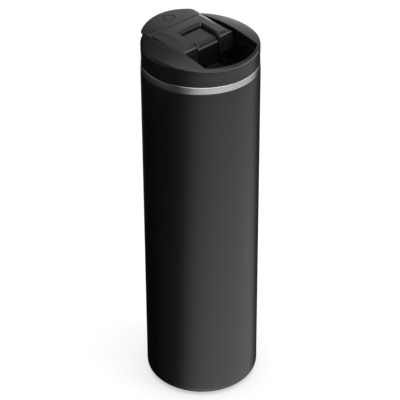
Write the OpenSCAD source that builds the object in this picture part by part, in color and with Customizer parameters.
// Insulated travel mug with a screw-in flip-lever lid.
// Millimetres, +Z up, origin at the centre of the foot. The lever's thumb tab is towards +Y.

/* [Body] */
// Outer diameter of the coated shell
body_d = 73; // [72:0.5:76]
// Height of the coated shell, up to the bare steel band
shell_h = 224.6; // [200:0.2:240]
// Height of the bare steel band at the mouth
band_h = 4.6; // [4:0.2:6]
// Radius of the rounded foot
foot_r = 6.2; // [5:0.2:8]
// Thickness of the steel walls
steel_t = 0.6; // [0.5:0.1:0.8]
// Inner diameter of the liner below the neck
liner_d = 61.6; // [58:0.2:61.8]
// Inner diameter of the neck that takes the lid
neck_d = 65.2; // [65:0.1:65.4]
// Depth of the neck below the mouth
neck_depth = 24; // [22:0.5:30]

/* [Thread] */
// Rise of the lid in one turn (two starts)
thread_lead = 8; // [7:0.5:9]
// Angle that each thread ridge spans
thread_span = 300; // [240:15:330]

/* [Lid] */
// Outer diameter of the lid
lid_d = 72.4; // [71.6:0.1:72.8]
// Radius of the sphere that domes the lid
dome_r = 115.4; // [110:0.2:125]
// Height of the dome above the lid's lower edge
dome_h = 18.1; // [17.6:0.1:18.4]
// Distance of the dome's top behind the centre
dome_y = 5; // [4:0.5:6]
// Width of the channel that the lever lies in
channel_w = 44; // [43.8:0.1:44.4]
// Width of the fixed hinge block
block_w = 15.2; // [14.8:0.2:16]
// Depth of the plug below the lid's lower edge
plug_h = 17.3; // [16:0.1:19]

/* [Lever] */
// Width of the lever
lever_w = 41.8; // [41:0.1:42]
// Width between the lever's legs
window_w = 18.8; // [18.4:0.1:20]
// Height of the hinge axis above the foot
pivot_z = 236.5; // [236.2:0.1:236.8]
// Diameter of the hinge pin
pin_d = 3; // [2.6:0.1:3.4]
// Highest point of the lever above the foot
lever_top = 248; // [247.8:0.1:248.4]

/* [Hidden] */
$fn = 96;

eps = 0.01;
big = 200;
part_gap = 0.1;
coat_black = "#1b1b1c";
plastic_black = "#232427";
steel = "silver";
silicone = "#3a3b3e";

// Shell and liner. The bare band stands back from the coating by the depth of the groove between them.
body_r = body_d / 2;
mouth_z = shell_h + band_h;
liner_r = liner_d / 2;
neck_r = neck_d / 2;
neck_z = mouth_z - neck_depth;
shoulder_h = 2;
shoulder_out = 1.6;
liner_floor = 8;
liner_corner = 9;
groove = 0.25;
band_r = body_r - groove;
lip_round = 1.2;
mouth_bevel = 0.6;
foot_opening = 27.5;

// Base cap, with a dimple round the pinhole that the vacuum seal closes
cap_flange = 2;
cap_r = foot_opening - 1;
cap_step = 1.6;
cap_top = cap_step + 2 * steel_t;
dimple_r = 4.4;
pinhole_r = 1;
bead_low_r = 2.6;
bead_top_r = 2.2;
getter_x = 12;
getter_r = 5;
getter_h = 1.2;

// Thread: both ridges are rings of a trapezium swept along one helix
ridge_base = 1.5;
ridge_crest = 0.8;
ridge_root = 0.4;
step_deg = 7.5;
liner_ridge_r = neck_r - 0.9;
plug_ridge_r = neck_r - 0.3;
thread_z = mouth_z - 16.6;

// Lid
lid_r = lid_d / 2;
lid_z = mouth_z + part_gap;
lid_wall = 2.2;
bore_r = lid_r - lid_wall;
dome_top = lid_z + dome_h;
dome_c = dome_top - dome_r;
rim_drop = 1.3;
rim_slope = 0.765;
rim_tilt = atan(dome_y / dome_r);
channel = channel_w / 2;
channel_wall = 1.8;
deck_z = 237.4;
deck_t = 1.8;
back_rim_z = 239;
notch_w = 34;
block = block_w / 2;
block_front = -7.1;
block_back = 8;
block_low = 243.65;
block_slope = 5.6;
block_bevel = 2.4;
boss_r = 6.8;
boss_gap = 0.3;
floor_z = 226.5;
lane_z = 221;
lane_clear = 9.6;
pocket_r = 28.2;
pocket_t = 1.5;
pocket_top = 231;
pocket_mouth = bore_r - 1.6;
plug_r = 31.3;
plug_t = 1.4;
plug_z = lid_z - plug_h;
plug_bevel = 1;
flange_t = 1.4;
flange_z = lid_z + part_gap;

// Gasket: a band in the plug's groove with two lips that reach towards the neck
gasket_z = mouth_z - 3.9;
gasket_h = 2.8;
gasket_groove = 30.3;
gasket_in = gasket_groove + 0.08;
gasket_t = 1.3;
gasket_lip = 0.8;
gasket_edge = 0.2;

// Drinking hole and vent
drink_y = 24.4;
drink_l = 13;
drink_w = 8;
duct_t = 1.2;
duct_seal_t = 0.6;
vent_y = 15.4;
vent_r = 1;

// Lever
half_lever = lever_w / 2;
half_window = window_w / 2;
crown_x = 113;
crown_y = 168;
crown_at = 20;
bevel_x = 17.2;
bevel_y = 17;
bevel_z = 246.65;
bevel_drop = 0.486;
lever_tilt = 4.4;
leg_front = -7;
leg_back = 5.5;
leg_bottom = 231.4;
leg_chamfer = 1.5;
bend_r = 6;
bend_z = 240.1;
arm_low = 242.7;
arm_back = 30;
window_back = 9.4;
lip_low = 244.4;
lip_z = 245.4;
lip_in = 0.6;
lip_rise = 1.9;
lip_out = 1.4;
turn_clear = 11.9;
seam_mid = 16.9;
seam_end = 20.6;
seam_gap = 0.15;
tab_under = 244.1;
tab_r = 36.5;
tab_half = 23.9;
tab_wide_y = 25.4;
tab_front = 10;
tab_corner = 3.8;
corner_x = tab_half - tab_corner;
corner_y = sqrt((tab_r - tab_corner) * (tab_r - tab_corner) - corner_x * corner_x);
mark_y = 27;
mark_r = 4;
mark_w = 0.8;
mark_z = 247.5;
tongue_half = 16;
tongue_front = 12.9;
tongue_back = 31;
tongue_t = 1.9;
tongue_low = tab_under - tongue_t;
holder_h = 1.6;
pin_r = pin_d / 2;
pin_run = 0.07;
pin_inset = 0.4;
seal_gap = 0.3;
lip_seat = 0.8;
lip_tip = 2.2;
lip_taper = 0.6;
lip_h = 2;
seal_rim = 1.2;
vent_seal_r = 2.2;

module slot(l, w, h) {
    cube([l - w, w, h], center = true);
    for (s = [-1, 1])
        translate([s * (l - w) / 2, 0, 0]) cylinder(d = w, h = h, center = true);
}

// Upright slot with its lower face at z
module slot_at(y, z, l, w, h) {
    translate([0, y, z + h / 2]) slot(l, w, h);
}

module can_profile(r, h, fillet) {
    translate([0, fillet]) square([r, h - fillet]);
    square([r - fillet, fillet + eps]);
    translate([r - fillet, fillet]) circle(fillet);
}

// One helical ridge. Points of each cross-section: two at the wall, two at the crest.
// Their order turns round with the side of the wall that the crest is on.
module ridge(wall_r, crest_r, start_deg, z0) {
    n = round(thread_span / step_deg);
    side = crest_r < wall_r ? 1 : -1;
    half_b = side * ridge_base / 2;
    half_c = side * ridge_crest / 2;
    pts = [for (i = [0:n])
        let (a = start_deg + i * step_deg, z = z0 + thread_lead * i * step_deg / 360)
        each [
            [wall_r * cos(a), wall_r * sin(a), z - half_b],
            [wall_r * cos(a), wall_r * sin(a), z + half_b],
            [crest_r * cos(a), crest_r * sin(a), z + half_c],
            [crest_r * cos(a), crest_r * sin(a), z - half_c]
        ]];
    sides = [for (i = [0:n - 1], k = [0:3])
        let (j = (k + 1) % 4)
        each [
            [4 * i + k, 4 * i + j, 4 * (i + 1) + j],
            [4 * i + k, 4 * (i + 1) + j, 4 * (i + 1) + k]
        ]];
    ends = [[3, 2, 1, 0], [4 * n, 4 * n + 1, 4 * n + 2, 4 * n + 3]];
    polyhedron(points = pts, faces = concat(sides, ends));
}

// ---- Vacuum body ----

module outer_shell() {
    color(coat_black) rotate_extrude() difference() {
        can_profile(body_r, shell_h, foot_r);
        translate([body_r, shell_h]) rotate(45) square(groove * sqrt(2), center = true);
        translate([0, steel_t]) can_profile(body_r - steel_t, shell_h, foot_r - steel_t);
        square([foot_opening, 2 * steel_t]);
    }
}

module liner_outline() {
    wall = liner_r + steel_t;
    translate([0, liner_floor]) can_profile(wall, neck_z - liner_floor, liner_corner);
    polygon([[0, neck_z - shoulder_out], [wall, neck_z - shoulder_out], [neck_r + steel_t, neck_z],
        [neck_r + steel_t, mouth_z - lip_round], [0, mouth_z - lip_round]]);
    translate([0, shell_h + groove]) square([band_r, band_h - groove - lip_round]);
    translate([0, shell_h]) square([band_r - groove, band_h - lip_round]);
    translate([0, mouth_z - lip_round - eps]) square([band_r - lip_round, lip_round + eps]);
    translate([band_r - lip_round, mouth_z - lip_round]) circle(lip_round);
}

module liner_bore() {
    floor_z = liner_floor + steel_t;
    translate([0, floor_z]) can_profile(liner_r, neck_z - floor_z, liner_corner - steel_t);
    polygon([[0, neck_z - shoulder_h], [liner_r, neck_z - shoulder_h], [neck_r, neck_z],
        [neck_r, mouth_z - mouth_bevel], [neck_r + mouth_bevel, mouth_z + eps], [0, mouth_z + eps]]);
}

module inner_liner() {
    curl_r = neck_r + steel_t;
    color(steel) {
        rotate_extrude() difference() {
            liner_outline();
            liner_bore();
            // Open space between the neck and the bare band
            translate([curl_r, shell_h - eps])
                square([band_r - steel_t - curl_r, band_h - steel_t + eps]);
        }
        for (s = [0, 180])
            ridge(neck_r + ridge_root, liner_ridge_r, s, thread_z);
    }
}

module base_cap() {
    color(steel) rotate_extrude() difference() {
        union() {
            translate([0, steel_t]) square([foot_opening + cap_flange, steel_t]);
            translate([0, steel_t]) square([cap_r, cap_step + steel_t]);
            translate([0, steel_t]) square([dimple_r + steel_t, cap_top]);
        }
        translate([0, -eps]) square([cap_r - steel_t, cap_step + steel_t + eps]);
        square([dimple_r, cap_top]);
        square([pinhole_r, cap_top + big]);
    }
}

module vacuum_seal() {
    color("dimgray") translate([0, 0, cap_top - steel_t])
        cylinder(r1 = bead_low_r, r2 = bead_top_r, h = steel_t);
}

module getter_pad() {
    color("darkgray") translate([getter_x, 0, cap_top]) cylinder(r = getter_r, h = getter_h);
}

// ---- Lid ----

module lid_gasket() {
    lip_in = gasket_in + gasket_t / 2;
    color(silicone) rotate_extrude() {
        translate([gasket_in, gasket_z]) square([gasket_t, gasket_h]);
        for (z = [gasket_edge, gasket_h - gasket_edge - gasket_lip])
            translate([lip_in, gasket_z + z]) square([neck_r - seal_gap - lip_in, gasket_lip]);
    }
}

module lid_plug() {
    wall_in = plug_r - plug_t;
    color(plastic_black) {
        difference() {
            union() {
                rotate_extrude() difference() {
                    union() {
                        translate([0, plug_z]) square([plug_r, flange_z - plug_z]);
                        translate([0, flange_z]) square([bore_r - part_gap, flange_t]);
                    }
                    translate([0, plug_z + plug_t]) square([wall_in, big]);
                    translate([gasket_groove, gasket_z - part_gap])
                        square([plug_r, gasket_h + 2 * part_gap]);
                    translate([plug_r, plug_z]) rotate(45) square(plug_bevel * sqrt(2), center = true);
                }
                intersection() {
                    rotate_extrude() translate([0, plug_z]) square([wall_in + eps, big]);
                    slot_at(drink_y, plug_z, drink_l + 2 * duct_t, drink_w + 2 * duct_t,
                        deck_z - deck_t - duct_seal_t - plug_z);
                }
            }
            slot_at(drink_y, plug_z - 1, drink_l, drink_w, big);
        }
        for (s = [0, 180])
            ridge(plug_r - ridge_root, plug_ridge_r, s, thread_z + thread_lead / 4);
    }
}

// Space in front of and around the hinge block, down to the floors of the well
module well_space(grow) {
    half = channel - part_gap + grow;
    intersection() {
        union() {
            translate([0, 0, lane_z - grow]) cylinder(r = pocket_r + grow, h = pocket_top - lane_z + grow);
            translate([0, 0, pocket_top - eps])
                cylinder(r1 = pocket_r + grow, r2 = pocket_mouth + grow, h = deck_z - pocket_top + 2 * eps);
        }
        union() {
            translate([-half, -big, lane_z - grow]) cube([2 * half, big, big]);
            translate([-half, 0, pivot_z]) rotate([0, 90, 0]) cylinder(r = lane_clear + grow, h = 2 * half);
        }
    }
}

// Side view of the hinge block. Its top rises to the back behind a bevelled front edge.
module block_side(bottom) {
    difference() {
        translate([block_front, bottom]) square([block_back - block_front, lever_top - bottom]);
        translate([block_front + block_bevel, block_low]) rotate(block_slope)
            translate([-big / 2, 0]) square(big);
        translate([block_front, block_low - block_bevel]) rotate(45) translate([-big / 2, 0]) square(big);
    }
}

// Hinge block from the given height up, with a round boss towards each of the lever's legs
module block_body(bottom) {
    rotate([90, 0, 90]) linear_extrude(block_w, center = true) block_side(bottom);
    intersection() {
        translate([0, 0, pivot_z]) rotate([0, 90, 0])
            cylinder(r = boss_r, h = window_w - 2 * boss_gap, center = true);
        translate([-half_window, -block_w, bottom]) cube([window_w, 2 * block_w, lever_top - bottom]);
    }
}

module lid_well() {
    deck_low = deck_z - deck_t;
    color(plastic_black) difference() {
        union() {
            translate([0, 0, deck_low]) cylinder(r = bore_r - part_gap, h = deck_t);
            // Pocket, with its walls, floors and the lower part of the hinge block
            difference() {
                intersection() {
                    well_space(pocket_t);
                    translate([0, 0, lane_z - pocket_t]) cylinder(r = lid_r, h = deck_z - lane_z + pocket_t);
                }
                difference() {
                    well_space(0);
                    translate([-block, -big, 0]) cube([block_w, 2 * big, floor_z]);
                    block_body(0);
                }
            }
            block_body(deck_low);
        }
        // The pocket's mouth in the deck
        difference() {
            intersection() {
                well_space(0);
                translate([0, 0, deck_low - eps]) cylinder(r = lid_r, h = deck_t + 2 * eps);
            }
            block_body(0);
        }
        slot_at(drink_y, deck_low - deck_t, drink_l, drink_w, 3 * deck_t);
        translate([0, vent_y, deck_low - deck_t]) cylinder(r = vent_r, h = 3 * deck_t);
        translate([-block_w, 0, pivot_z]) rotate([0, 90, 0]) cylinder(r = pin_r + pin_run, h = 2 * block_w);
    }
}

// Half of the dome's section, about the dome's own axis: an arc cut off by the rim's chamfer
module dome_section() {
    edge = sqrt(dome_r * dome_r - lid_r * lid_r) - rim_drop;
    side = 4;
    above = 4;
    intersection() {
        circle(dome_r, $fn = 200);
        polygon([[0, edge - 2 * dome_h], [lid_r + side, edge - 2 * dome_h],
            [lid_r + side, edge - side / rim_slope], [lid_r - above * rim_slope, edge + above],
            [0, edge + above]]);
    }
}

// Disc whose domed top leans a little to the front
module lid_envelope() {
    intersection() {
        translate([0, 0, lid_z]) cylinder(r = lid_r, h = dome_h);
        translate([0, dome_y, dome_c]) rotate([rim_tilt, 0, 0]) rotate_extrude($fn = 200) dome_section();
    }
}

module lid_cap() {
    color(plastic_black) difference() {
        lid_envelope();
        // Channel between the crescents
        intersection() {
            translate([0, 0, lid_z - 1]) cylinder(r = bore_r, h = 2 * dome_h);
            translate([-channel, -lid_r, lid_z - 1]) cube([channel_w, lid_d, 2 * dome_h]);
        }
        // Hollow under each crescent
        intersection() {
            translate([0, 0, lid_z - 1]) cylinder(r = bore_r, h = 2 * dome_h);
            translate([0, dome_y, dome_c]) sphere(dome_r - lid_wall, $fn = 200);
            for (s = [0, 1]) mirror([s, 0, 0])
                translate([channel + channel_wall, -lid_r, lid_z - 1]) cube([lid_r, lid_d, 2 * dome_h]);
        }
        // Seat for the well, under the channel walls
        translate([0, 0, lid_z - 1]) cylinder(r = bore_r, h = deck_z - lid_z + 1);
        // Finger notch in the rim under the thumb tab
        translate([-notch_w / 2, 0, back_rim_z]) cube([notch_w, lid_d, dome_h]);
    }
}

module duct_seal() {
    low = deck_z - deck_t - duct_seal_t;
    color(silicone) difference() {
        slot_at(drink_y, low, drink_l + 2 * duct_t, drink_w + 2 * duct_t, duct_seal_t);
        slot_at(drink_y, low - eps, drink_l, drink_w, duct_seal_t + 2 * eps);
    }
}

// ---- Lever ----

module hinge_pin() {
    color(steel) translate([-half_lever + pin_inset, 0, pivot_z]) rotate([0, 90, 0])
        cylinder(r = pin_r, h = lever_w - 2 * pin_inset);
}

// Barrel that crowns the lever's top
module crown() {
    translate([0, crown_at, lever_top - crown_y]) rotate([0, 90, 0]) rotate_extrude($fn = 200)
        translate([crown_y - crown_x, 0]) intersection() {
            circle(crown_x, $fn = 200);
            translate([0, -crown_x]) square([crown_x + 1, 2 * crown_x]);
        }
}

// Upright prism along Y whose upper edges are bevelled, tilted about the height of its bevels
module bevelled_bar(half, tilt) {
    low = bevel_z - bevel_drop * (half - bevel_x);
    ridge = bevel_z + bevel_drop * bevel_x;
    translate([0, bevel_y, bevel_z]) rotate([tilt, 0, 0]) rotate([90, 0, 0])
        linear_extrude(big, center = true) translate([0, -bevel_z])
        polygon([[-half, lane_z], [half, lane_z], [half, low], [0, ridge], [-half, low]]);
}

// Cylinder whose near side is the seam between the lever and the tab
module seam_cylinder(gap) {
    sag = seam_end - seam_mid;
    r = (half_lever * half_lever + sag * sag) / (2 * sag);
    translate([0, seam_mid + r, lane_z]) cylinder(r = r - gap, h = 2 * (lever_top - lane_z), $fn = 200);
}

// Side view of the lever: a leg at the front, a rounded bend and an arm to the back
module lever_side() {
    above = lever_top + 1;
    difference() {
        polygon([[leg_front, leg_bottom], [leg_back, leg_bottom], [leg_back, arm_low],
            [arm_back, arm_low], [arm_back, above], [leg_front, above]]);
        difference() {
            translate([leg_front - eps, bend_z]) square([bend_r + eps, above]);
            translate([leg_front + bend_r, bend_z]) circle(bend_r);
        }
        translate([leg_front, leg_bottom]) rotate(45) square(leg_chamfer * sqrt(2), center = true);
    }
}

// Half of the window's outline at a height: straight, then in to a lip, then out to the top edge
function window_edge(reach) = [[reach, lane_z], [reach, lip_low], [reach - lip_in, lip_z],
    [reach - lip_in + 2 * lip_out, lip_z + 2 * lip_rise]];

// Window between the legs, with a hollow about the pin that clears the hinge block
module window_space() {
    sides = window_edge(half_window);
    intersection() {
        rotate([90, 0, 0]) linear_extrude(2 * lever_w, center = true)
            polygon(concat(sides, [for (i = [3:-1:0]) [-sides[i][0], sides[i][1]]]));
        rotate([90, 0, 90]) linear_extrude(lever_w, center = true)
            polygon(concat(window_edge(window_back),
                [[-lever_w, lip_z + 2 * lip_rise], [-lever_w, lane_z]]));
    }
    translate([0, 0, pivot_z]) rotate([0, 90, 0]) cylinder(r = turn_clear, h = window_w, center = true);
}

module lever_frame() {
    color(plastic_black) difference() {
        union() {
            difference() {
                intersection() {
                    rotate([90, 0, 90]) linear_extrude(lever_w, center = true) lever_side();
                    crown();
                    bevelled_bar(half_lever, lever_tilt);
                }
                seam_cylinder(0);
            }
            translate([-tongue_half, tongue_front, tongue_low])
                cube([2 * tongue_half, tongue_back - tongue_front, tongue_t]);
        }
        window_space();
        translate([-lever_w, 0, pivot_z]) rotate([0, 90, 0]) cylinder(r = pin_r, h = 2 * lever_w);
    }
}

// Thumb tab from above: it widens behind the seam and ends in a round edge with rounded corners
module tab_outline() {
    intersection() {
        circle(tab_r, $fn = 200);
        polygon([[0, 0], [2 * corner_x, 2 * corner_y], [-2 * corner_x, 2 * corner_y]]);
    }
    for (s = [-1, 1])
        translate([s * corner_x, corner_y]) circle(tab_corner);
    polygon([[0, 0], [half_lever, tab_front], [half_lever, seam_end], [tab_half, tab_wide_y],
        [tab_half, corner_y], [corner_x, corner_y], [-corner_x, corner_y], [-tab_half, corner_y],
        [-tab_half, tab_wide_y], [-half_lever, seam_end], [-half_lever, tab_front]]);
}

module thumb_tab() {
    color(plastic_black) difference() {
        intersection() {
            translate([0, 0, tab_under]) linear_extrude(2 * (lever_top - tab_under)) tab_outline();
            crown();
            bevelled_bar(tab_half + 1, 0);
            seam_cylinder(seam_gap);
        }
        // Plain ring mark on the pad
        translate([0, mark_y, mark_z]) difference() {
            cylinder(r = mark_r, h = mark_r);
            translate([0, 0, -eps]) cylinder(r = mark_r - mark_w, h = mark_r + 2 * eps);
        }
    }
}

module stopper_holder() {
    color(plastic_black) slot_at(drink_y, tongue_low - holder_h, drink_l, drink_w, holder_h);
}

// Flange between the holder and the deck, and a lip of two steps that closes the drinking hole
module stopper_seal() {
    top = tongue_low - holder_h;
    flange_h = top - deck_z - part_gap;
    lip_l = drink_l - 2 * seal_gap;
    lip_w = drink_w - 2 * seal_gap;
    color(silicone) {
        slot_at(drink_y, top - flange_h, drink_l + 2 * seal_rim, drink_w + 2 * seal_rim, flange_h);
        slot_at(drink_y, deck_z - lip_seat, lip_l, lip_w, lip_h);
        slot_at(drink_y, deck_z - lip_tip, lip_l - 2 * lip_taper, lip_w - 2 * lip_taper, lip_h);
    }
}

module vent_seal() {
    color(silicone) translate([0, vent_y, deck_z + part_gap])
        cylinder(r = vent_seal_r, h = tongue_low - deck_z - part_gap);
}

outer_shell();
inner_liner();
base_cap();
vacuum_seal();
getter_pad();
lid_gasket();
lid_plug();
lid_well();
lid_cap();
duct_seal();
hinge_pin();
lever_frame();
thumb_tab();
stopper_holder();
stopper_seal();
vent_seal();
